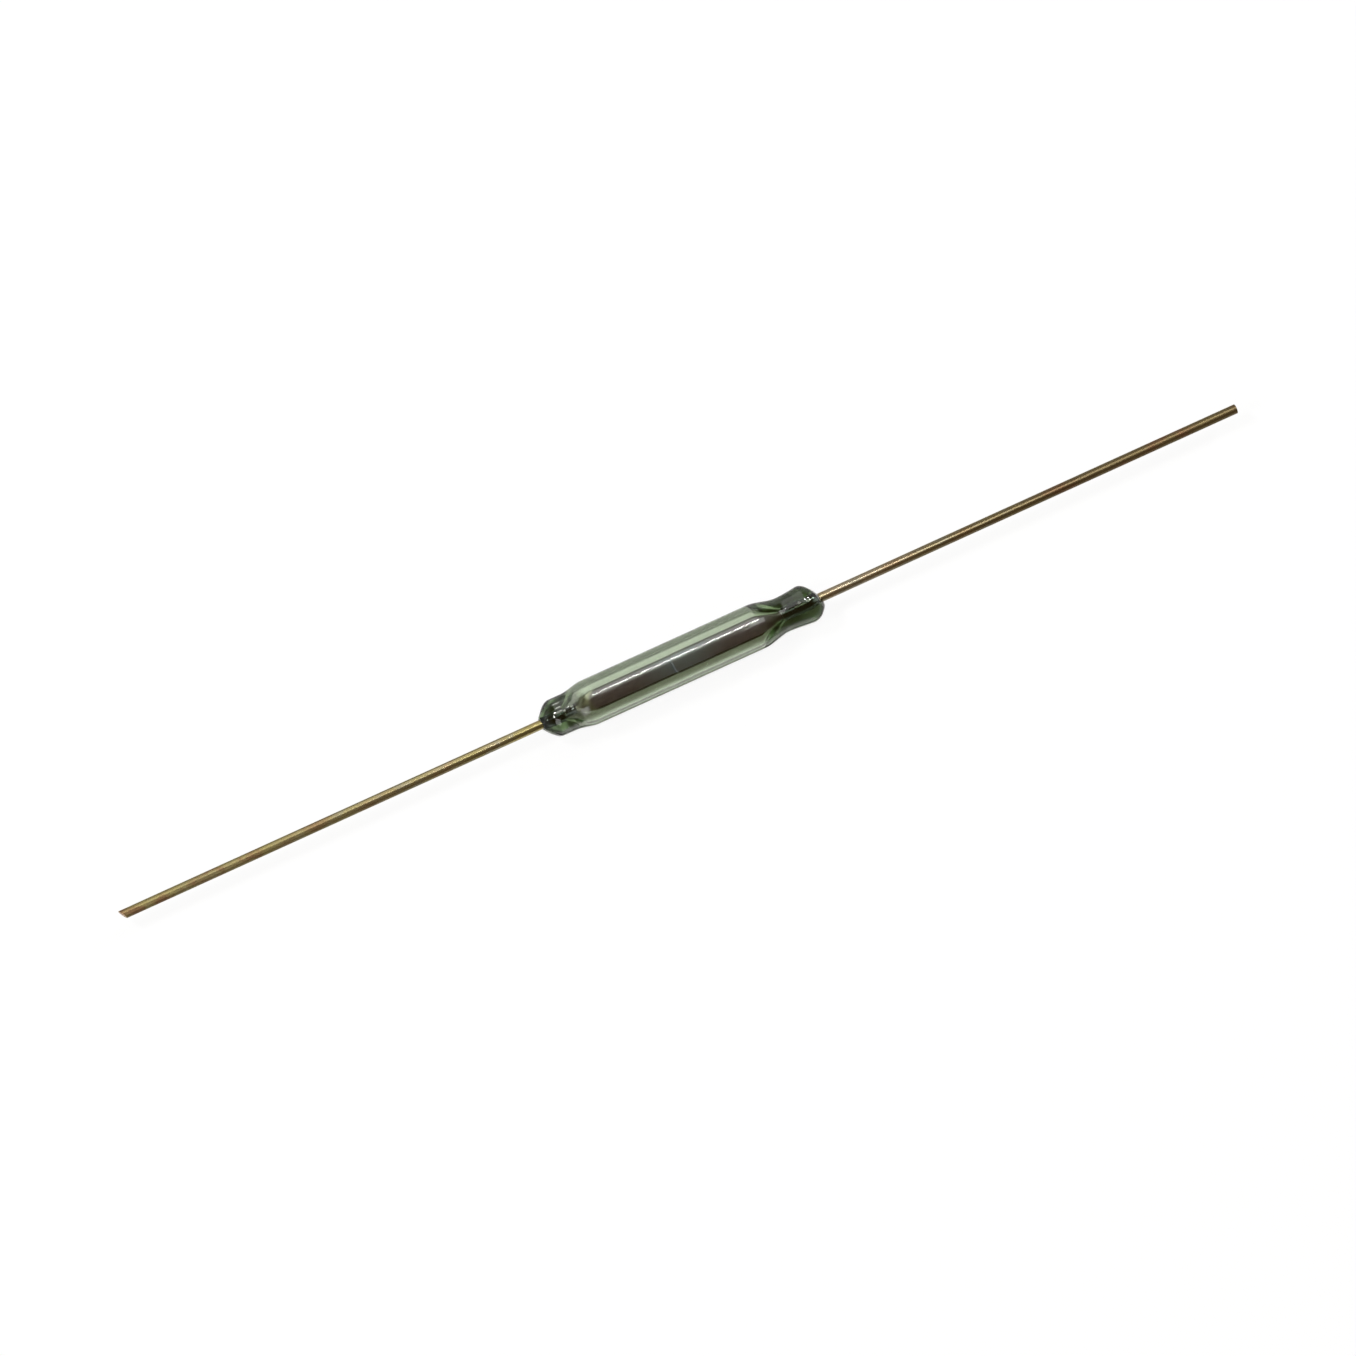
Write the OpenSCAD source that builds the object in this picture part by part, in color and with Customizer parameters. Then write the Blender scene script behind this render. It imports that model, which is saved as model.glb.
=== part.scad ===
// Glass reed switch, normally open.
// Two magnetic reeds are sealed into the ends of a glass tube. Each reed is one drawn wire: its outer
// length is the round lead, and its inner length is stamped flat into a springy blade. The blades
// overlap in the middle of the tube with a small gap, and a magnet pulls them together.
// X runs along the tube, the flat faces of the blades look up and down Z, the origin is the tube's middle.

/* [Glass tube] */
// Outside diameter of the tube
glass_d = 2.1; // [1.8:0.05:2.6]
// Length of the capsule over both seals
glass_l = 13.9; // [12:0.1:18]
// Wall thickness of the tube
wall_t = 0.23; // [0.16:0.01:0.3]

/* [Left seal] */
// Length of solid glass melted around the left lead
left_seal_l = 1.02; // [1:0.02:2.4]
// Diameter of the left seal
left_seal_d = 1.76; // [1.5:0.02:2]
// Length of the rounded outer end
left_dome_l = 0.76; // [0.4:0.02:1]
// Diameter of the small flat where the lead comes out
left_land_d = 0.56; // [0.56:0.02:1]
// Distance from the outer end to where the seal starts to widen
left_shoulder_x = 1.35; // [1.1:0.05:1.8]
// Length over which the seal widens to the full tube
left_shoulder_l = 1.1; // [0.6:0.05:1.8]
// Length of the funnel in which the hollow narrows towards the left seal
left_hollow_l = 1.1; // [0.4:0.05:1.2]

/* [Right seal] */
// Length of solid glass melted around the right lead
right_seal_l = 1.8; // [1.5:0.02:2.8]
// Widest diameter of the bulb at the outer end
right_bulb_d = 1.76; // [1.6:0.02:2]
// Diameter of the neck drawn in behind the bulb
right_neck_d = 1.63; // [1.4:0.02:1.8]
// Length of the rounded outer end, up to the widest point of the bulb
right_dome_l = 0.7; // [0.5:0.02:1.1]
// Diameter of the small flat where the lead comes out
right_land_d = 0.66; // [0.56:0.02:1]
// Distance from the outer end to the narrowest point of the neck
right_neck_x = 1.77; // [1.4:0.02:2.2]
// Length over which the neck widens to the full tube
right_shoulder_l = 1.35; // [0.8:0.05:2]
// Length of the funnel in which the hollow narrows towards the right seal
right_hollow_l = 1.35; // [0.6:0.05:1.6]

/* [Leads] */
// Diameter of the drawn wire
lead_d = 0.44; // [0.36:0.01:0.54]
// Length of each lead outside the glass
lead_l = 21.1; // [6:0.1:30]
// Slant of the cropped end of the left lead, in degrees
left_crop_a = 30; // [0:1:40]
// Slant of the cropped end of the right lead, in degrees
right_crop_a = 1; // [0:1:40]

/* [Blades] */
// Width of the flat blade
blade_w = 0.94; // [0.7:0.02:1.1]
// Thickness of the flat blade
blade_t = 0.15; // [0.1:0.01:0.18]
// Rounding of the two corners of the tip
tip_r = 0.2; // [0.05:0.01:0.3]
// Length over which the two blades overlap
overlap_l = 0.8; // [0.4:0.05:1.4]
// Gap between the open contact faces
contact_gap = 0.08; // [0.04:0.01:0.12]
// Length of round wire between the left seal and the stamped part
left_shank_l = 0.78; // [0.02:0.01:1.2]
// Length of round wire between the right seal and the stamped part
right_shank_l = 0.32; // [0.02:0.01:0.8]
// Length over which the wire is pressed from round to flat
taper_l = 0.9; // [0.5:0.05:1.2]
// How much stamping draws the wire in, on the radius, over its sealed length
draw_in = 0.004; // [0.001:0.001:0.01]
// Faint step that the die leaves at both ends of the stretch that it presses from round to flat
die_mark = 0.003; // [0.001:0.001:0.01]

/* [Hidden] */
$fn = 64;

glass_r = glass_d / 2;
bore_r = glass_r - wall_t;
lead_r = lead_d / 2;
shank_r = lead_r - draw_in;
left_seal_r = left_seal_d / 2;
right_bulb_r = right_bulb_d / 2;
right_neck_r = right_neck_d / 2;
end_x = glass_l / 2;

// How full each rounded outer end is: 1 follows a quarter sine wave, a smaller share is blunter
left_fullness = 1;
right_fullness = 0.8;
// Points along each curved stretch of the glass
glass_steps = 14;
// Rings along the stamped taper, and points on each rounded edge of a ring
taper_steps = 12;
edge_steps = 10;
// Share of the taper over which the wire is pressed down: it still spreads over the rest
press_share = 0.7;

// Half the offset between the two blades, where each stamped length starts, and the length of each flat
blade_z = (contact_gap + blade_t) / 2;
left_taper_x = -end_x + left_seal_l + left_shank_l;
right_taper_x = end_x - right_seal_l - right_shank_l;
left_flat_l = overlap_l / 2 - left_taper_x - taper_l;
right_flat_l = overlap_l / 2 + right_taper_x - taper_l;

// Room that the cutting block of a cropped end keeps around the wire
crop_room = 2 * lead_d;

// Smooth step from 0 to 1, held at both ends
function ease(u) = let (v = min(max(u, 0), 1)) v * v * (3 - 2 * v);

// Radius of the glass at a distance d from the left end and from the right end, past the domes
function left_outer(d) =
    left_seal_r + (glass_r - left_seal_r) * ease((d - left_shoulder_x) / left_shoulder_l);
function right_outer(d) = d > right_neck_x
    ? right_neck_r + (glass_r - right_neck_r) * ease((d - right_neck_x) / right_shoulder_l)
    : right_bulb_r
        + (right_neck_r - right_bulb_r) * ease((d - right_dome_l) / (right_neck_x - right_dome_l));

// Rounded outer end: its radius rises along a bent quarter sine wave, as [radius, distance from the end] points
function dome(r_small, r_large, l, fullness) = [
    for (i = [0 : glass_steps])
        let (u = i / glass_steps)
            [r_small + (r_large - r_small) * pow(sin(90 * u), fullness), l * u]
];

// Outside of each end, as [radius, distance from that end] points
left_outside = concat(
    dome(left_land_d / 2, left_seal_r, left_dome_l, left_fullness),
    [for (i = [0 : glass_steps])
        let (d = left_shoulder_x + left_shoulder_l * i / glass_steps) [left_outer(d), d]]
);
right_outside = concat(
    dome(right_land_d / 2, right_bulb_r, right_dome_l, right_fullness),
    [for (i = [1 : glass_steps])
        let (d = right_dome_l + (right_neck_x - right_dome_l) * i / glass_steps) [right_outer(d), d]],
    [for (i = [1 : glass_steps])
        let (d = right_neck_x + right_shoulder_l * i / glass_steps) [right_outer(d), d]]
);

// Radius of the hollow at a share u of its funnel, which opens from the lead to the bore
function funnel(u) = let (v = min(max(u, 0), 1)) shank_r + (bore_r - shank_r) * (v + ease(v)) / 2;

// Each end of the hollow as [radius, distance] points, with at least the tube's wall left under the shoulder
left_hollow_end = max(left_seal_l + left_hollow_l, left_shoulder_x + left_shoulder_l);
left_hollow = [
    for (i = [0 : glass_steps])
        let (d = left_seal_l + (left_hollow_end - left_seal_l) * i / glass_steps)
            [min(funnel((d - left_seal_l) / left_hollow_l), left_outer(d) - wall_t), d]
];
right_hollow_end = max(right_seal_l + right_hollow_l, right_neck_x + right_shoulder_l);
right_hollow = [
    for (i = [0 : glass_steps])
        let (d = right_seal_l + (right_hollow_end - right_seal_l) * i / glass_steps)
            [min(funnel((d - right_seal_l) / right_hollow_l), right_outer(d) - wall_t), d]
];

// Places [radius, distance] points along the tube, counted inwards from the left or the right end
function from_left(points) = [for (p = points) [p[0], p[1] - end_x]];
function from_right(points) = [for (p = points) [p[0], end_x - p[1]]];
function reversed(points) = [for (i = [len(points) - 1 : -1 : 0]) points[i]];

// One closed section: outside from left to right, then back along the lead holes and the hollow
glass_section = concat(
    [[lead_r, -end_x]],
    from_left(left_outside),
    reversed(from_right(right_outside)),
    [[lead_r, end_x]],
    from_right(right_hollow),
    reversed(from_left(left_hollow))
);

module glass_capsule() {
    color([0.72, 0.8, 0.68, 0.5])
        rotate([0, 90, 0]) rotate_extrude() polygon(glass_section);
}

// Ring of the stamped taper at u = 0 (round wire) to 1 (flat blade): two round edges and two flats.
// The wire spreads fast at first and then levels off, so the outline of the taper is convex.
function taper_ring(u) = let (
    e = ease(u / press_share),
    round_r = shank_r - 2 * die_mark,
    flat_r = blade_t / 2 - die_mark,
    edge_r = round_r + (flat_r - round_r) * e,
    half_flat = die_mark + ((blade_w - blade_t) / 2 - die_mark) * sin(90 * u),
    z = -blade_z * e
) concat(
    [for (k = [0 : edge_steps]) let (a = -90 + 180 * k / edge_steps)
        [taper_l * u, half_flat + edge_r * cos(a), z + edge_r * sin(a)]],
    [for (k = [0 : edge_steps]) let (a = 90 + 180 * k / edge_steps)
        [taper_l * u, -half_flat + edge_r * cos(a), z + edge_r * sin(a)]]
);

// The stretch where the die presses the wire flat and spreads it, from x = 0 towards +X
module stamped_taper() {
    n = 2 * (edge_steps + 1);
    points = [for (i = [0 : taper_steps], p = taper_ring(i / taper_steps)) p];
    sides = [for (i = [0 : taper_steps - 1], k = [0 : n - 1])
        let (a = i * n + k, b = i * n + (k + 1) % n)
            each [[a, a + n, b], [b, a + n, b + n]]];
    round_end = [for (k = [0 : n - 1]) k];
    flat_end = [for (k = [n - 1 : -1 : 0]) taper_steps * n + k];
    polyhedron(points, concat(sides, [round_end, flat_end]));
}

// Round wire with a cropped outer end, its sealed length and its bare shank, which ends at x = 0
module lead(seal_l, shank_l, crop_a) {
    inner_l = seal_l + shank_l;
    wire_l = inner_l + lead_l;
    wire_half = [
        [0, 0], [shank_r, 0], [shank_r, shank_l],
        [lead_r, inner_l], [lead_r, wire_l], [0, wire_l]
    ];
    color([0.79, 0.69, 0.44])
        difference() {
            rotate([0, -90, 0]) rotate_extrude() polygon(wire_half);
            translate([-wire_l, lead_r, 0]) rotate([0, 0, crop_a])
                translate([-crop_room, -crop_room, -crop_room / 2])
                    cube([crop_room, 2 * crop_room, crop_room]);
        }
}

// Flat length of the reed with the rounded edges of pressed wire and a rounded tip, from x = 0 towards +X
module flat(l) {
    intersection() {
        rotate([90, 0, 90]) linear_extrude(l) {
            square([blade_w - blade_t, blade_t], center = true);
            for (side = [-1, 1])
                translate([side * (blade_w - blade_t) / 2, 0]) circle(d = blade_t);
        }
        translate([0, 0, -blade_t]) linear_extrude(2 * blade_t) {
            translate([0, -blade_w / 2]) square([l - tip_r, blade_w]);
            translate([0, tip_r - blade_w / 2]) square([l, blade_w - 2 * tip_r]);
            for (side = [-1, 1])
                translate([l - tip_r, side * (blade_w / 2 - tip_r)]) circle(r = tip_r);
        }
    }
}

// Stamped length of the reed: the taper, which starts on the end of the round wire at x = 0, then the flat
module blade(l) {
    color([0.47, 0.44, 0.4])
        union() {
            stamped_taper();
            translate([taper_l, 0, -blade_z]) flat(l);
        }
}

module left_lead() {
    translate([left_taper_x, 0, 0]) lead(left_seal_l, left_shank_l, left_crop_a);
}

module left_blade() {
    translate([left_taper_x, 0, 0]) blade(left_flat_l);
}

// The right reed is the left one turned half round, so that its blade lies above
module right_lead() {
    translate([right_taper_x, 0, 0]) rotate([0, 180, 0])
        lead(right_seal_l, right_shank_l, right_crop_a);
}

module right_blade() {
    translate([right_taper_x, 0, 0]) rotate([0, 180, 0]) blade(right_flat_l);
}

glass_capsule();
left_lead();
left_blade();
right_lead();
right_blade();
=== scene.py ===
import math

import bmesh
import bpy
from mathutils import Matrix, Vector


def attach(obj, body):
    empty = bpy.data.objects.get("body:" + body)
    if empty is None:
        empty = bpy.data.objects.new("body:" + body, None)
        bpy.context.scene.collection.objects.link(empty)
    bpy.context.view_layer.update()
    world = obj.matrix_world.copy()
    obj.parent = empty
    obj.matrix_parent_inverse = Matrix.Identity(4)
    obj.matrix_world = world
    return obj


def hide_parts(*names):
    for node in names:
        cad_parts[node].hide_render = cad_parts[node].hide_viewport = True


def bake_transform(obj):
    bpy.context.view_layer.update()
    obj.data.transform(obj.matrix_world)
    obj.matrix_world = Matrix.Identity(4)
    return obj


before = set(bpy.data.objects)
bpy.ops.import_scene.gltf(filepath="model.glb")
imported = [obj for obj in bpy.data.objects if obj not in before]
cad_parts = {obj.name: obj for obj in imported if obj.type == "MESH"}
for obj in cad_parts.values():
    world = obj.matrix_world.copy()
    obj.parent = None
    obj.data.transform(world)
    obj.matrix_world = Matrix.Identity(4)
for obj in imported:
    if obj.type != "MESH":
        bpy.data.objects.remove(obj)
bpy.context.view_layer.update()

# Reeds
# Each reed is one drawn nickel-iron wire. Its outer length is the round lead with a thin gold-coloured
# plating, cropped at the end. Its inner length is pressed flat in a die into a springy blade, and the
# end of the blade has a thin grey contact plating. The two reeds are the same part turned round.
MM = 0.001
LEAD_R = 0.22 * MM
LEAD_L = 21.1 * MM
LEAD_SPARE = 0.6 * MM
LEFT_INNER_L = 1.8 * MM
RIGHT_INNER_L = 2.12 * MM
LEFT_TAPER_X = -5.15 * MM
RIGHT_TAPER_X = 4.83 * MM
LEFT_CROP = math.radians(30)
RIGHT_CROP = math.radians(1)
CROP_EDGE_R = 0.02 * MM
SHANK_R = 0.216 * MM
SHANK_SHARE = 0.4
TAPER_L = 0.9 * MM
PRESS_SHARE = 0.7
BLADE_EDGE_R = 0.075 * MM
BLADE_HALF_FLAT = 0.395 * MM
BLADE_Z = 0.115 * MM
TIP_R = 0.2 * MM
TIP_X = 0.4 * MM
TIP_RIM = 0.02 * MM
WIRE_SIDES = 48
TAPER_RINGS = 16
FLAT_RINGS = 14
TIP_RINGS = 8
RIM_RINGS = 4
REED_CREASE = math.radians(35)
SAME_PLACE = 0.001 * MM


def ease(u):
    """Smooth step from 0 to 1, held at both ends."""
    v = min(max(u, 0.0), 1.0)
    return v * v * (3 - 2 * v)


def deselect():
    if bpy.context.object and bpy.context.object.mode != "OBJECT":
        bpy.ops.object.mode_set(mode="OBJECT")
    bpy.ops.object.select_all(action="DESELECT")


def pick(obj, test):
    """Selects the points of the mesh in edit mode whose place passes a test."""
    mesh = bmesh.from_edit_mesh(obj.data)
    for v in mesh.verts:
        v.select_set(test(v.co))
    mesh.select_flush_mode()
    bmesh.update_edit_mesh(obj.data)


def start_edit(name):
    """Names the new primitive, puts its place into its mesh and opens it in edit mode."""
    obj = bpy.context.object
    obj.name = obj.data.name = name
    bpy.ops.object.transform_apply(location=True, rotation=True, scale=True)
    bpy.ops.object.mode_set(mode="EDIT")
    bpy.ops.mesh.select_mode(type="VERT")
    bpy.ops.mesh.select_all(action="SELECT")
    return obj


def reed_rings(inner_l, flat_l):
    """Rings of a reed: distance from the start of its taper, edge radius, half flat width and rise."""
    rings = [(-inner_l, LEAD_R, 0, 0), (-SHANK_SHARE * inner_l, SHANK_R, 0, 0), (0, SHANK_R, 0, 0)]
    for i in range(1, TAPER_RINGS + 1):
        u = i / TAPER_RINGS
        pressed = ease(u / PRESS_SHARE)
        edge_r = SHANK_R + (BLADE_EDGE_R - SHANK_R) * pressed
        half_flat = BLADE_HALF_FLAT * math.sin(math.pi / 2 * u)
        rings.append((TAPER_L * u, edge_r, half_flat, -BLADE_Z * pressed))
    straight_l = flat_l - TIP_R
    for i in range(1, FLAT_RINGS + 1):
        along = TAPER_L + straight_l * i / FLAT_RINGS
        rings.append((along, BLADE_EDGE_R, BLADE_HALF_FLAT, -BLADE_Z))
    for i in range(1, TIP_RINGS + 1):
        a = math.pi / 2 * i / TIP_RINGS
        along = TAPER_L + straight_l + (TIP_R - TIP_RIM) * math.sin(a)
        half_flat = BLADE_HALF_FLAT - TIP_R * (1 - math.cos(a))
        rings.append((along, BLADE_EDGE_R, half_flat, -BLADE_Z))
    along, edge_r, half_flat, rise = rings[-1]
    for i in range(1, RIM_RINGS + 1):
        a = math.pi / 2 * i / RIM_RINGS
        rim_r = edge_r - TIP_RIM * (1 - math.cos(a))
        rings.append((along + TIP_RIM * math.sin(a), rim_r, half_flat, rise))
    return rings


def make_reed(name, taper_x, inner_l, inward, crop):
    """Draws a reed ring by ring from its outer end. inward, 1 or -1, is the blade's way along X."""
    wire_l = inner_l + LEAD_L
    flat_l = inward * (inward * TIP_X - taper_x) - TAPER_L
    deselect()
    start = (taper_x - inward * (wire_l + LEAD_SPARE), 0, 0)
    bpy.ops.mesh.primitive_circle_add(
        vertices=WIRE_SIDES, radius=LEAD_R, location=start, rotation=(0, math.pi / 2, 0)
    )
    reed = start_edit(name)
    bpy.ops.transform.rotate(value=math.pi / WIRE_SIDES, orient_axis="X", center_override=start)
    last_x, last_r, last_flat, last_z = start[0], LEAD_R, 0, 0
    for along, edge_r, half_flat, rise in reed_rings(inner_l, flat_l):
        x = taper_x + inward * along
        z = inward * rise
        bpy.ops.mesh.extrude_region_move(
            TRANSFORM_OT_translate={"value": (x - last_x, 0, z - last_z)}
        )
        if edge_r != last_r or half_flat != last_flat:
            size = edge_r / last_r
            for side in (1, -1):
                pick(reed, lambda co: abs(co.x - x) < SAME_PLACE and co.y * side > 0)
                bpy.ops.transform.resize(
                    value=(1, size, size), center_override=(x, side * last_flat, z)
                )
                bpy.ops.transform.translate(value=(0, side * (half_flat - last_flat), 0))
            pick(reed, lambda co: abs(co.x - x) < SAME_PLACE)
        last_x, last_r, last_flat, last_z = x, edge_r, half_flat, z
    bpy.ops.mesh.edge_face_add()
    bpy.ops.mesh.select_all(action="SELECT")
    bpy.ops.mesh.normals_make_consistent(inside=False)
    bpy.ops.mesh.bisect(
        plane_co=(taper_x - inward * wire_l, LEAD_R, 0),
        plane_no=(-inward * math.cos(crop), -math.sin(crop), 0),
        use_fill=True,
        clear_outer=True,
        threshold=1e-9,
    )
    bpy.ops.mesh.bevel(offset=CROP_EDGE_R, segments=3, affect="EDGES")
    bpy.ops.mesh.select_all(action="SELECT")
    bpy.ops.mesh.normals_make_consistent(inside=False)
    bpy.ops.object.mode_set(mode="OBJECT")
    bpy.ops.object.shade_smooth_by_angle(angle=REED_CREASE)
    return reed


class Value:
    """One socket of a finish. Sums and products of values add Math nodes."""

    def __init__(self, finish, socket):
        self.finish = finish
        self.socket = socket

    def math(self, operation, *others):
        inputs = dict(enumerate([self, *others]))
        return self.finish.node("ShaderNodeMath", {"operation": operation}, inputs)

    def __add__(self, other):
        return self.math("ADD", other)

    def __radd__(self, other):
        return self.math("ADD", other)

    def __sub__(self, other):
        return self.math("SUBTRACT", other)

    def __rsub__(self, other):
        return self.finish.node("ShaderNodeMath", {"operation": "SUBTRACT"}, {0: other, 1: self})

    def __mul__(self, other):
        return self.math("MULTIPLY", other)

    def __rmul__(self, other):
        return self.math("MULTIPLY", other)

    def __abs__(self):
        return self.math("ABSOLUTE")

    def between(self, low, high):
        """0 up to low, 1 from high on, smooth between them. low may be the larger one."""
        return self.finish.node(
            "ShaderNodeMapRange",
            {"interpolation_type": "SMOOTHSTEP"},
            {"Value": self, "From Min": low, "From Max": high},
        )


class Finish:
    """The nodes of a material or of the world. Places on a piece are in millimetres of its frame."""

    def __init__(self, owner):
        self.owner = owner
        owner.use_nodes = True
        self.tree = owner.node_tree
        self.tree.nodes.clear()

    def node(self, kind, settings=None, inputs=None, out=0):
        """Adds a node: its settings are set first, then its sockets get their values or links."""
        made = self.tree.nodes.new(kind)
        for key, value in (settings or {}).items():
            setattr(made, key, value)
        for key, value in (inputs or {}).items():
            if isinstance(value, Value):
                self.tree.links.new(value.socket, made.inputs[key])
            else:
                made.inputs[key].default_value = value
        return Value(self, made.outputs[out])

    def axis(self, letter):
        """Place along X, Y or Z, in millimetres."""
        place = self.node("ShaderNodeTexCoord", out="Object")
        return self.node("ShaderNodeSeparateXYZ", inputs={0: place}, out=letter) * (1 / MM)

    def noise(self, scale, detail=3.0, rough=0.55, shift=(0, 0, 0)):
        """Noise with that many grains per millimetre along X, Y and Z."""
        place = self.node("ShaderNodeTexCoord", out="Object")
        spot = self.node(
            "ShaderNodeMapping",
            {"vector_type": "POINT"},
            {"Vector": place, "Location": shift, "Scale": [s / MM for s in scale]},
        )
        return self.node(
            "ShaderNodeTexNoise",
            inputs={"Vector": spot, "Scale": 1.0, "Detail": detail, "Roughness": rough},
        )

    def mix(self, share, first, second):
        """A colour between two colours."""
        return self.node(
            "ShaderNodeMix",
            {"data_type": "RGBA"},
            {"Factor": share, "A": first, "B": second},
            out=2,
        )

    def blend(self, share, first, second):
        """A shader between two shaders."""
        return self.node("ShaderNodeMixShader", inputs={0: share, 1: first, 2: second})

    def bump(self, height, depth):
        """Surface normal for a height from 0 to 1 that stands for a depth in millimetres."""
        return self.node("ShaderNodeBump", inputs={"Height": height, "Distance": depth * MM})

    def done(self, surface, volume=None):
        """Joins the shaders to the output and gives the finished material or world."""
        is_world = isinstance(self.owner, bpy.types.World)
        end = self.tree.nodes.new("ShaderNodeOutputWorld" if is_world else "ShaderNodeOutputMaterial")
        self.tree.links.new(surface.socket, end.inputs["Surface"])
        if volume:
            self.tree.links.new(volume.socket, end.inputs["Volume"])
        return self.owner


def reed_finish():
    gold = (0.50, 0.43, 0.27, 1)
    pale_gold = (0.57, 0.48, 0.34, 1)
    olive_gold = (0.45, 0.39, 0.17, 1)
    grey_gold = (0.44, 0.43, 0.33, 1)
    tan = (0.50, 0.34, 0.19, 1)
    copper_brown = (0.36, 0.19, 0.11, 1)
    umber = (0.25, 0.18, 0.10, 1)
    sealed = (0.24, 0.25, 0.32, 1)
    root_grey = (0.50, 0.50, 0.43, 1)
    root_highlight_cream = (0.93, 0.90, 0.74, 1)
    blade_brown = (0.43, 0.34, 0.45, 1)
    blade_dark = (0.34, 0.27, 0.38, 1)
    blade_edge_shade = (0.05, 0.045, 0.04, 1)
    contact = (0.46, 0.48, 0.64, 1)
    bump_depth = 0.0015
    f = Finish(bpy.data.materials.new("reed_metal"))
    x = f.axis("X")
    y = f.axis("Y")
    along = abs(x)
    patches = f.noise((0.35, 1.5, 1.5))
    stains = f.noise((0.7, 1.2, 1.2), detail=4, shift=(3, 1, 2))
    mottle = f.noise((1.4, 2.0, 2.0), shift=(7, 5, 1))
    specks = f.noise((6, 9, 9), detail=4).between(0.66, 0.74)
    lines = f.noise((0.25, 45, 45), detail=2)
    grain = f.noise((3, 10, 10))

    # Leads: gold plating with grey and tan mottling, paler beside the right seal, worn and stained outwards
    beside_seal = x.between(6.5, 8) * x.between(14, 9)
    worn = along.between(11, 24)
    browned = x.between(9, 20) * (0.5 + stains * 0.3)
    colour = f.mix(patches.between(0.35, 0.65), gold, olive_gold)
    colour = f.mix(beside_seal, colour, pale_gold)
    colour = f.mix(mottle.between(0.54, 0.64) * 0.6, colour, grey_gold)
    colour = f.mix(mottle.between(0.44, 0.36) * 0.5, colour, tan)
    colour = f.mix(worn * 0.7, colour, olive_gold)
    colour = f.mix(browned, colour, umber)
    colour = f.mix(worn * stains.between(0.48, 0.62) * 0.8, colour, copper_brown)
    colour = f.mix(specks * 0.5, colour, umber)

    # Inside the glass: grey where the wire is sealed, and grey at the root of the left blade with a painted
    # highlight in patches on its +Y side
    inside = along.between(7.0, 6.8)
    root = x.between(-5.5, -5.2) * x.between(0.5, 0)
    # Patches on the +Y side of the root are paler: a painted highlight
    painted_root_highlight = y.between(-0.12, 0.08) * mottle.between(0.42, 0.52)
    colour = f.mix(inside, colour, sealed)
    colour = f.mix(root, colour, f.mix(painted_root_highlight, root_grey, root_highlight_cream))

    # Blades: brown from the heat of sealing, grey contact plating towards the tips, near-black edges of
    # painted shade
    left_stamped = (y * y * 1.5 - x + (stains - 0.5) * 0.5).between(4.7, 4.3)
    stamped = left_stamped * x.between(5.2, 4.9)
    plated = (along + (patches - 0.5) * 0.8).between(2.6, 0.4)
    blade = f.mix(grain.between(0.3, 0.7), blade_brown, blade_dark)
    blade = f.mix(plated, blade, contact)
    # The rounded blade edges are painted near-black: painted shade where their reflection would be
    blade = f.mix(abs(y).between(0.36, 0.40) * 0.9, blade, blade_edge_shade)
    colour = f.mix(stamped, colour, blade)

    round_wire = 1 - stamped
    rough = 0.24 + 0.1 * patches + worn * 0.08
    rough = rough - inside * round_wire * 0.14 + root * round_wire * 0.2
    height = lines * 0.4 + specks * -0.2 + grain * stamped * 0.2
    metal = f.node(
        "ShaderNodeBsdfPrincipled",
        inputs={
            "Base Color": colour,
            "Metallic": 1.0,
            "Roughness": rough,
            "Normal": f.bump(height, bump_depth),
        },
    )
    return f.done(metal)


left_reed = make_reed("left_reed", LEFT_TAPER_X, LEFT_INNER_L, 1, LEFT_CROP)
right_reed = make_reed("right_reed", RIGHT_TAPER_X, RIGHT_INNER_L, -1, RIGHT_CROP)
reed_metal = reed_finish()
for reed, side, taper_x in ((left_reed, "left", LEFT_TAPER_X), (right_reed, "right", RIGHT_TAPER_X)):
    reed.data.materials.append(reed_metal)
    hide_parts(side + "_lead", side + "_blade")
    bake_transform(reed)

# Glass capsule
# One length of pale green glass tube. Heat melts both of its ends down around the leads, so each end is
# solid glass with a rounded outer end, and the right end keeps a drawn-in neck behind its bulb.
# Distances are measured from the outer end of each seal.
GLASS_END = 6.95 * MM
TUBE_R = 1.05 * MM
WALL = 0.23 * MM
BORE_R = TUBE_R - WALL
HOLE_R = 0.198 * MM
LEFT_LAND_R = 0.28 * MM
LEFT_SEAL_R = 0.88 * MM
LEFT_DOME_L = 0.76 * MM
LEFT_SEAL_L = 1.02 * MM
LEFT_FUNNEL_L = 1.1 * MM
LEFT_SHOULDER_X = 1.35 * MM
LEFT_TUBE_X = 2.45 * MM
LEFT_FULLNESS = 1.0
RIGHT_LAND_R = 0.33 * MM
BULB_R = 0.88 * MM
NECK_R = 0.815 * MM
RIGHT_DOME_L = 0.7 * MM
RIGHT_SEAL_L = 1.8 * MM
RIGHT_FUNNEL_L = 1.35 * MM
NECK_X = 1.77 * MM
RIGHT_TUBE_X = 3.12 * MM
RIGHT_BORE_X = 3.15 * MM
RIGHT_FULLNESS = 0.8
# A second ring just past each end of the tube and of its bore keeps their shading straight
SECOND_RING = 0.05 * MM
CURVE_STEPS = 22
TURN_STEPS = 128
GLASS_CREASE = math.radians(50)
# The melted ends are a little askew. Each row has the end, the side in Y,
# and how far that corner of the end is moved along X and Y, in millimetres.
SLUMPS = (
    (1, -1, 0.17, -0.04),
    (1, 1, -0.07, 0.05),
    (-1, 1, -0.03, 0.0),
)
SLUMP_DEPTH = 0.3 * MM
SLUMP_OFFSET = 0.42 * MM
SLUMP_SPREAD = 0.9 * MM


def dome(r_small, r_large, length, fullness):
    """Rounded outer end as radius and distance: a quarter sine wave, blunter below a fullness of 1."""
    points = []
    for i in range(CURVE_STEPS + 1):
        u = i / CURVE_STEPS
        rise = math.sin(math.pi / 2 * u) ** fullness
        points.append((r_small + (r_large - r_small) * rise, length * u))
    return points


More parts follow.
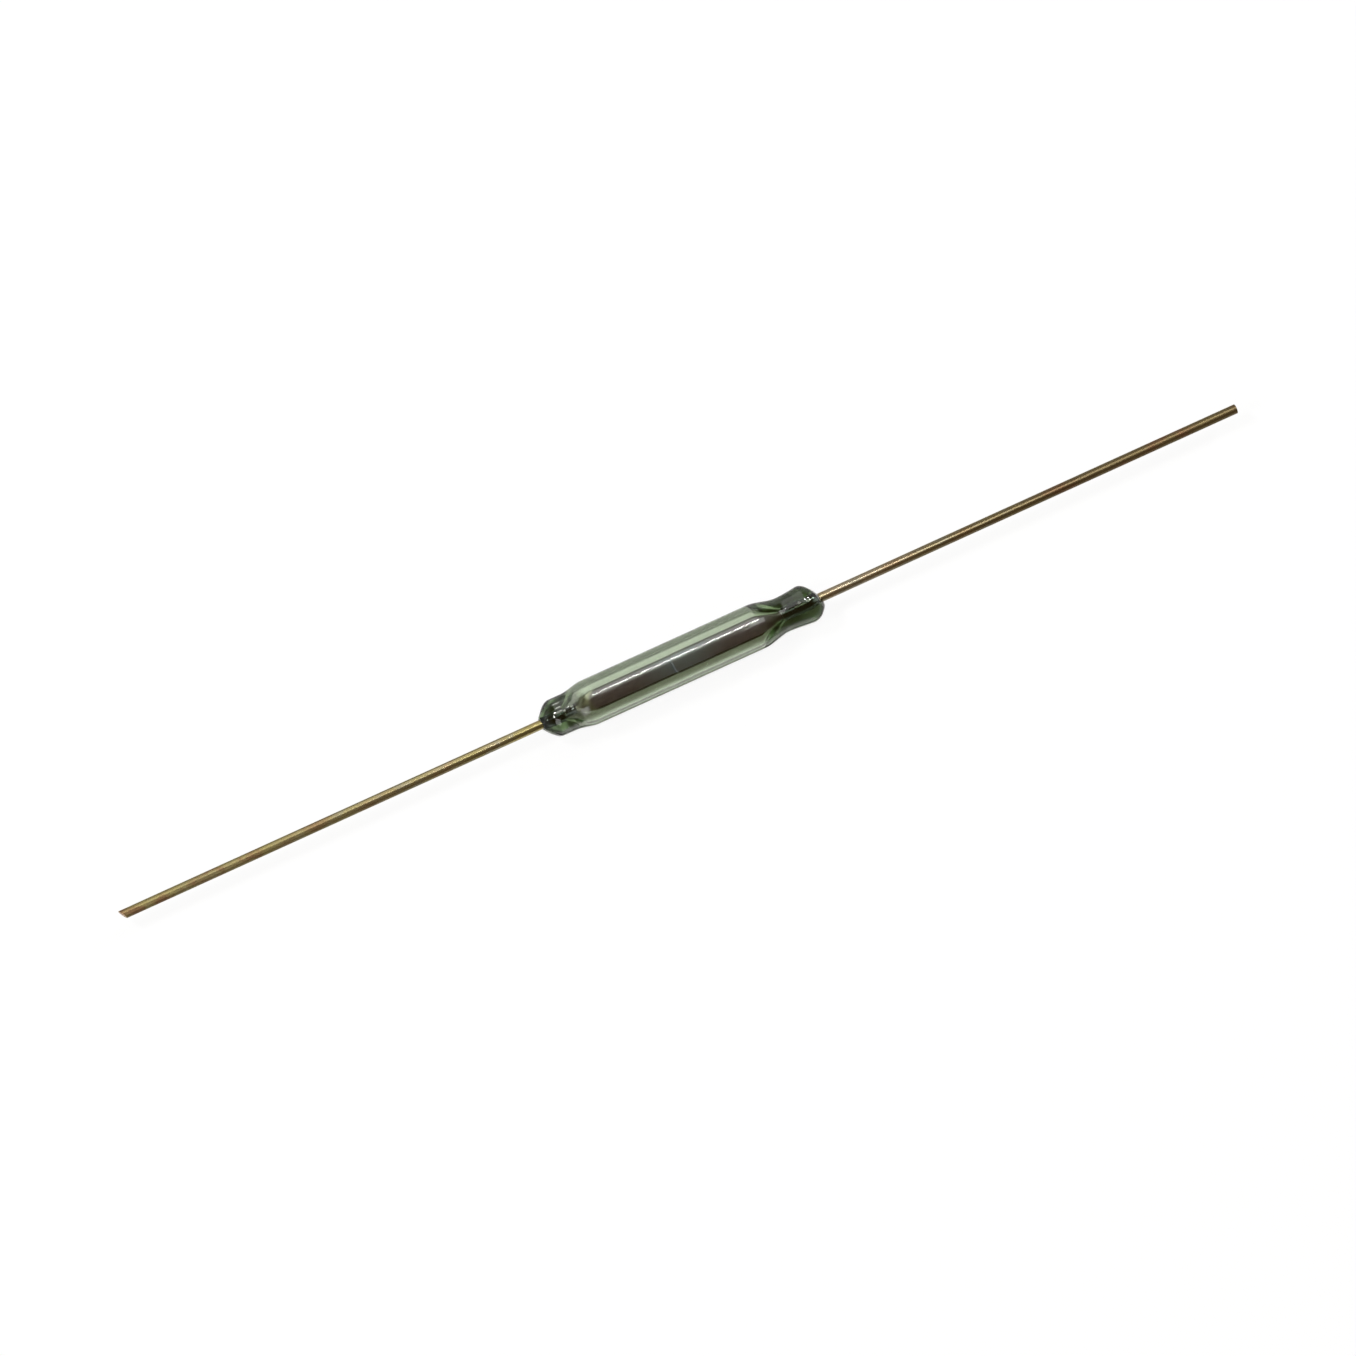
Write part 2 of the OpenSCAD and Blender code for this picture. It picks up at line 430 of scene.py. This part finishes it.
def left_outer(d):
    """Outside radius of the left end, past its dome."""
    widened = ease((d - LEFT_SHOULDER_X) / (LEFT_TUBE_X - LEFT_SHOULDER_X))
    return LEFT_SEAL_R + (TUBE_R - LEFT_SEAL_R) * widened


def right_outer(d):
    """Outside radius of the right end, past its dome: the bulb narrows to the neck, which widens again."""
    if d > NECK_X:
        return NECK_R + (TUBE_R - NECK_R) * ease((d - NECK_X) / (RIGHT_TUBE_X - NECK_X))
    return BULB_R + (NECK_R - BULB_R) * ease((d - RIGHT_DOME_L) / (NECK_X - RIGHT_DOME_L))


def stretch(outer, start, end):
    """Points of an outside curve between two distances from its end, without the first one."""
    points = []
    for i in range(1, CURVE_STEPS + 1):
        d = start + (end - start) * i / CURVE_STEPS
        points.append((outer(d), d))
    return points


def hollow(outer, start, funnel_l, end):
    """End of the hollow: a funnel from the lead to the bore that keeps the wall under the outside."""
    points = []
    for i in range(CURVE_STEPS + 1):
        d = start + (end - start) * i / CURVE_STEPS
        u = min((d - start) / funnel_l, 1)
        r = HOLE_R + (BORE_R - HOLE_R) * (u + ease(u)) / 2
        points.append((min(r, outer(d) - WALL), d))
    return points


def capsule_section():
    """Half section of the capsule as radius and X: along the outside, and back along the hollow."""
    left = dome(LEFT_LAND_R, LEFT_SEAL_R, LEFT_DOME_L, LEFT_FULLNESS)
    left += [(LEFT_SEAL_R, LEFT_SHOULDER_X)]
    left += stretch(left_outer, LEFT_SHOULDER_X, LEFT_TUBE_X)
    left += [(TUBE_R, LEFT_TUBE_X + SECOND_RING)]
    right = dome(RIGHT_LAND_R, BULB_R, RIGHT_DOME_L, RIGHT_FULLNESS)
    right += stretch(right_outer, RIGHT_DOME_L, NECK_X)
    right += stretch(right_outer, NECK_X, RIGHT_TUBE_X)
    right += [(TUBE_R, RIGHT_TUBE_X + SECOND_RING)]
    left_hollow = hollow(left_outer, LEFT_SEAL_L, LEFT_FUNNEL_L, LEFT_TUBE_X)
    left_hollow += [(BORE_R, LEFT_TUBE_X + SECOND_RING)]
    right_hollow = hollow(right_outer, RIGHT_SEAL_L, RIGHT_FUNNEL_L, RIGHT_BORE_X)
    right_hollow += [(BORE_R, RIGHT_BORE_X + SECOND_RING)]
    section = [(HOLE_R, -GLASS_END)]
    section += [(r, d - GLASS_END) for r, d in left]
    section += [(r, GLASS_END - d) for r, d in reversed(right)]
    section += [(HOLE_R, GLASS_END)]
    section += [(r, GLASS_END - d) for r, d in right_hollow]
    section += [(r, d - GLASS_END) for r, d in reversed(left_hollow)]
    return section


def make_capsule():
    """Draws the half section point by point, spins it round the leads and lets its ends slump."""
    section = capsule_section()
    deselect()
    bpy.ops.mesh.primitive_plane_add(size=MM, location=(section[0][1], 0, section[0][0]))
    capsule = start_edit("glass_tube")
    bpy.ops.mesh.merge(type="CENTER")
    for (r, x), (next_r, next_x) in zip(section, section[1:]):
        bpy.ops.mesh.extrude_vertices_move(
            TRANSFORM_OT_translate={"value": (next_x - x, 0, next_r - r)}
        )
    ends = (section[0], section[-1])
    pick(
        capsule,
        lambda co: any(abs(co.x - x) < SAME_PLACE and abs(co.z - r) < SAME_PLACE for r, x in ends),
    )
    bpy.ops.mesh.edge_face_add()
    bpy.ops.mesh.select_all(action="SELECT")
    bpy.ops.mesh.spin(steps=TURN_STEPS, angle=2 * math.pi, center=(0, 0, 0), axis=(1, 0, 0))
    bpy.ops.mesh.select_all(action="SELECT")
    bpy.ops.mesh.remove_doubles(threshold=1e-8)
    bpy.ops.mesh.normals_make_consistent(inside=False)
    for end, side, move_x, move_y in SLUMPS:
        pick(
            capsule,
            lambda co: co.x * end > GLASS_END - SLUMP_DEPTH and co.y * side > SLUMP_OFFSET,
        )
        bpy.ops.transform.translate(
            value=(move_x * MM, move_y * MM, 0),
            use_proportional_edit=True,
            proportional_edit_falloff="SMOOTH",
            proportional_size=SLUMP_SPREAD,
        )
    bpy.ops.object.mode_set(mode="OBJECT")
    bpy.ops.object.shade_smooth_by_angle(angle=GLASS_CREASE)
    return capsule


def glass_finish():
    clear = (0.97, 0.99, 0.96, 1)
    smoky = (0.87, 0.81, 0.90, 1)
    green = (0.157, 0.375, 0.0, 1)
    bump_depth = 0.02
    f = Finish(bpy.data.materials.new("green_glass"))
    melted = abs(f.axis("X")).between(4.6, 5.6)
    flow = f.noise((0.25, 1.2, 1.2), detail=2)
    ripple = f.noise((0.9, 2.2, 2.2), detail=2)
    haze = f.noise((1.2, 2.5, 2.5), detail=4)
    surface = f.node(
        "ShaderNodeBsdfPrincipled",
        inputs={
            "Base Color": f.mix(melted, clear, smoky),
            "Roughness": 0.005 + haze.between(0.5, 0.8) * 0.015,
            "IOR": 1.5,
            "Transmission Weight": 1.0,
            "Coat Weight": 1 - melted * 0.4,
            "Coat Roughness": 0.07,
            "Normal": f.bump(flow * 0.01 + ripple * melted, bump_depth),
        },
    )
    tint = f.node("ShaderNodeVolumeAbsorption", inputs={"Color": green, "Density": 1400.0})
    return f.done(surface, tint)


glass_tube = make_capsule()
glass_tube.data.materials.append(glass_finish())
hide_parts("glass_capsule")
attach(glass_tube, "capsule")

# Gas seeds
# Small bubbles that stay in the melted glass around the leads, drawn out along them. Their skins are
# painted whitish and matte, a painted reflection of the light that a bubble's skin mirrors, so they show as
# short whitish streaks. Each row has a bubble's place along X, Y and Z, its length and its width, in
# millimetres.
SEEDS = (
    (-6.09, 0.53, 0.50, 0.36, 0.08),
    (-6.09, 0.34, 0.62, 0.34, 0.09),
    (-6.14, 0.17, 0.68, 0.40, 0.10),
    (-5.88, 0.12, 0.68, 0.12, 0.10),
    (-5.50, 0.17, 0.66, 0.16, 0.09),
    (5.93, 0.17, 0.66, 0.18, 0.11),
    (6.00, 0.05, 0.32, 0.60, 0.06),
    (6.38, 0.08, 0.45, 0.16, 0.07),
)
SEED_SEGMENTS = 24
SEED_RINGS = 16


def painted_glint_seed_finish():
    pale = (0.95, 0.96, 0.94, 1)
    dull = (0.80, 0.84, 0.80, 1)
    f = Finish(bpy.data.materials.new("seed_painted_glint"))
    cloud = f.noise((8, 14, 14))
    # A whitish matte skin: a painted reflection in place of the light that a bubble mirrors
    skin = f.node(
        "ShaderNodeBsdfPrincipled",
        inputs={"Base Color": f.mix(cloud, pale, dull), "Roughness": 0.25 + cloud * 0.2},
    )
    return f.done(skin)


deselect()
for i, (x, y, z, length, width) in enumerate(SEEDS):
    place = (x * MM, y * MM, z * MM)
    bpy.ops.mesh.primitive_uv_sphere_add(
        segments=SEED_SEGMENTS, ring_count=SEED_RINGS, radius=width / 2 * MM, location=place
    )
    if i == 0:
        seeds = start_edit("gas_seeds")
    bpy.ops.transform.resize(value=(length / width, 1, 1), center_override=place)
    bpy.ops.mesh.select_all(action="DESELECT")
bpy.ops.object.mode_set(mode="OBJECT")
bpy.ops.object.shade_smooth()
seeds.data.materials.append(painted_glint_seed_finish())
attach(seeds, "capsule")

# Floor
# A plain pale sheet that the tube lies on. It shows white to the camera and keeps a soft shadow. Through
# the glass, a small patch under the left seal is white as well, like light that the seal has gathered.
FLOOR_Z = -TUBE_R
FLOOR_SIZE = 4.0
WHITE = (1, 1, 1, 1)
PAPER = (0.93, 0.93, 0.93, 1)
CAMERA_WHITE = 0.92
GLOSS_WHITE = 0.4
deselect()
bpy.ops.mesh.primitive_plane_add(size=FLOOR_SIZE, location=(0, 0, FLOOR_Z))
floor = start_edit("floor")
bpy.ops.object.mode_set(mode="OBJECT")
f = Finish(bpy.data.materials.new("pale_sheet"))
x = f.axis("X")
y = f.axis("Y")
under_seal = x.between(-6.5, -6.3) * x.between(-5.6, -5.85)
gathered = under_seal * y.between(-0.4, -0.15) * y.between(0.03, -0.03)
camera_ray = f.node("ShaderNodeLightPath", out="Is Camera Ray")
glossy_ray = f.node("ShaderNodeLightPath", out="Is Glossy Ray")
glass_ray = f.node("ShaderNodeLightPath", out="Is Transmission Ray")
share = camera_ray * CAMERA_WHITE + glossy_ray * (1 - glass_ray) * GLOSS_WHITE + glass_ray * gathered
paper = f.node("ShaderNodeBsdfDiffuse", inputs={"Color": PAPER})
white = f.node("ShaderNodeEmission", inputs={"Color": WHITE, "Strength": 1.0})
floor.data.materials.append(f.done(f.blend(share, paper, white)))

# Edge cards
# Grey cards that lie in front of and behind the tube, as they are used to photograph glass. They show only
# in the glass and the metal, where their greys are painted shade: the darker lines along both edges. The
# camera and the lamps pass them by. The front card has a dark stripe of painted shade, and a glowing strip
# of painted light between that and the tube.
CARD_NEAR = 1.1 * MM
CARD_DEPTH = 60 * MM
CARD_LENGTH = 160 * MM
CARD_LIFT = 0.01 * MM
BACK_GREY = (0.34, 0.34, 0.34, 1)
FRONT_GREY = (0.85, 0.85, 0.85, 1)
PAINTED_SHADE_GREY = (0.03, 0.03, 0.03, 1)
LEAD_SHADE_GREY = (0.22, 0.22, 0.22, 1)
PAINTED_LIGHT_GLOW = 0.5


def card_finish(name, grey):
    f = Finish(bpy.data.materials.new(name))
    x = f.axis("X")
    y = f.axis("Y")
    # A dark stripe of painted shade on the front card, seen along the tube's lower edge
    painted_shade_stripe = y.between(-1.65, -1.8) * y.between(-2.6, -2.4)
    # Darker beside the leads: painted shade that the leads show along their edges
    shade_beside_leads = abs(x).between(7, 9)
    # A glowing strip of painted light on the front card next to the tube, where the tube shades the floor
    painted_light_strip = y.between(-1.75, -1.6) * y.between(0, -0.5) * abs(x).between(8, 6)
    shade = f.mix(painted_shade_stripe, grey, PAINTED_SHADE_GREY)
    shade = f.mix(shade_beside_leads, shade, LEAD_SHADE_GREY)
    paper = f.node(
        "ShaderNodeBsdfPrincipled",
        inputs={"Base Color": shade, "Roughness": 1.0, "Specular IOR Level": 0.0},
    )
    glow = f.node("ShaderNodeEmission", inputs={"Color": WHITE, "Strength": 1.0})
    return f.done(f.blend(painted_light_strip * PAINTED_LIGHT_GLOW, paper, glow))


for name, side, grey in (("back_card", 1, BACK_GREY), ("front_card", -1, FRONT_GREY)):
    deselect()
    middle = (0, side * (CARD_NEAR + CARD_DEPTH / 2), FLOOR_Z + CARD_LIFT)
    bpy.ops.mesh.primitive_plane_add(size=1, location=middle)
    bpy.ops.transform.resize(value=(CARD_LENGTH, CARD_DEPTH, 1))
    card = start_edit(name)
    bpy.ops.object.mode_set(mode="OBJECT")
    card.data.materials.append(card_finish(name, grey))
    card.visible_camera = card.visible_shadow = card.visible_diffuse = False

# Camera
# Nearly above the switch, a little towards its left end, turned so that the leads rise to the right.
# The middle of the tube lies a few pixels right of the frame's middle and above it.
PIXEL = 0.04468 * MM
FRAME_PIXELS = 1356
SENSOR = 36
CAMERA_TILT = math.radians(12.5)
CAMERA_ROLL = math.radians(24.45)
CAMERA_DISTANCE = 2.0
ORIGIN_RIGHT = 1.7
ORIGIN_UP = 16.5
back = Vector((-math.sin(CAMERA_TILT), 0, math.cos(CAMERA_TILT)))
along = Vector((math.cos(CAMERA_TILT), 0, math.sin(CAMERA_TILT)))
across = Vector((0, 1, 0))
right = along * math.cos(CAMERA_ROLL) - across * math.sin(CAMERA_ROLL)
up = along * math.sin(CAMERA_ROLL) + across * math.cos(CAMERA_ROLL)
aim = (right * ORIGIN_RIGHT + up * ORIGIN_UP) * -PIXEL
camera_data = bpy.data.cameras.new("camera")
camera_data.sensor_width = SENSOR
camera_data.lens = SENSOR * CAMERA_DISTANCE / (FRAME_PIXELS * PIXEL)
camera = bpy.data.objects.new("camera", camera_data)
bpy.context.scene.collection.objects.link(camera)
turn = Matrix((right, up, back)).transposed()
camera.matrix_world = Matrix.Translation(aim + back * CAMERA_DISTANCE) @ turn.to_4x4()
bpy.context.scene.camera = camera
bpy.context.scene.view_settings.view_transform = "Standard"

# Light
# A narrow lamp draws the white line along the tube, and a softbox above each lead gives it its bright upper
# side. Three small lamps and a large softbox in front light all of it at a plain level. The room is dim and
# warm overhead with paler low walls, and white only to the camera.
OVERHEAD = (0.09, 0.058, 0.022, 1)
LOW_WALLS = (0.30, 0.29, 0.27, 1)
WALL_TOP = 0.32
f = Finish(bpy.data.worlds.new("studio"))
way = f.node("ShaderNodeTexCoord", out="Generated")
height = f.node("ShaderNodeSeparateXYZ", inputs={0: way}, out="Z")
walls = f.mix(height.between(WALL_TOP, 0.0), OVERHEAD, LOW_WALLS)
room = f.node("ShaderNodeBackground", inputs={"Color": walls})
white = f.node("ShaderNodeBackground", inputs={"Color": WHITE})
camera_ray = f.node("ShaderNodeLightPath", out="Is Camera Ray")
bpy.context.scene.world = f.done(f.blend(camera_ray, room, white))


def glint(angle):
    """Direction that a surface along X mirrors into the camera, in degrees from the top towards +Y."""
    a = math.radians(angle)
    square = Vector((0, math.sin(a), math.cos(a)))
    return square * math.cos(CAMERA_TILT) + Vector((math.sin(CAMERA_TILT), 0, 0))


def softbox(name, toward, distance, width, height, radiance, middle=0.0):
    """A lamp in that direction from a place along the X axis. Its width runs along X, as far as it can."""
    d = Vector(toward).normalized()
    wide = Vector((1, 0, 0)) if abs(d.x) < 0.8 else Vector((0, 1, 0))
    wide = (wide - d * wide.dot(d)).normalized()
    lamp = bpy.data.lights.new(name, "AREA")
    lamp.shape = "RECTANGLE"
    lamp.size = width
    lamp.size_y = height
    # The power that gives the lamp's face that radiance
    lamp.energy = 4 * width * height * radiance
    box = bpy.data.objects.new(name, lamp)
    bpy.context.scene.collection.objects.link(box)
    turn = Matrix((wide, d.cross(wide), d)).transposed()
    place = d * distance + Vector((middle, 0, 0))
    box.matrix_world = Matrix.Translation(place) @ turn.to_4x4()
    box.visible_camera = False


NEAR = 0.12
HALF_WAY = 0.25
FAR = 0.6
softbox("line_lamp", glint(28), HALF_WAY, width=0.020, height=0.006, radiance=45.0)
softbox("left_softbox", glint(52), NEAR, width=0.052, height=0.168, radiance=0.75, middle=-0.020)
softbox("right_softbox", glint(20), NEAR, width=0.044, height=0.05, radiance=1.5, middle=0.026)
softbox("main_lamp", (-0.5, 0.45, 0.74), FAR, width=0.09, height=0.09, radiance=64.0)
softbox("side_lamp", (-0.75, 0.12, 0.65), FAR, width=0.12, height=0.12, radiance=20.0)
softbox("right_lamp", (0.75, 0.4, 0.53), FAR, width=0.07, height=0.07, radiance=50.0)
softbox("front_softbox", (-0.5, -0.5, 0.71), FAR, width=0.45, height=0.45, radiance=1.33)
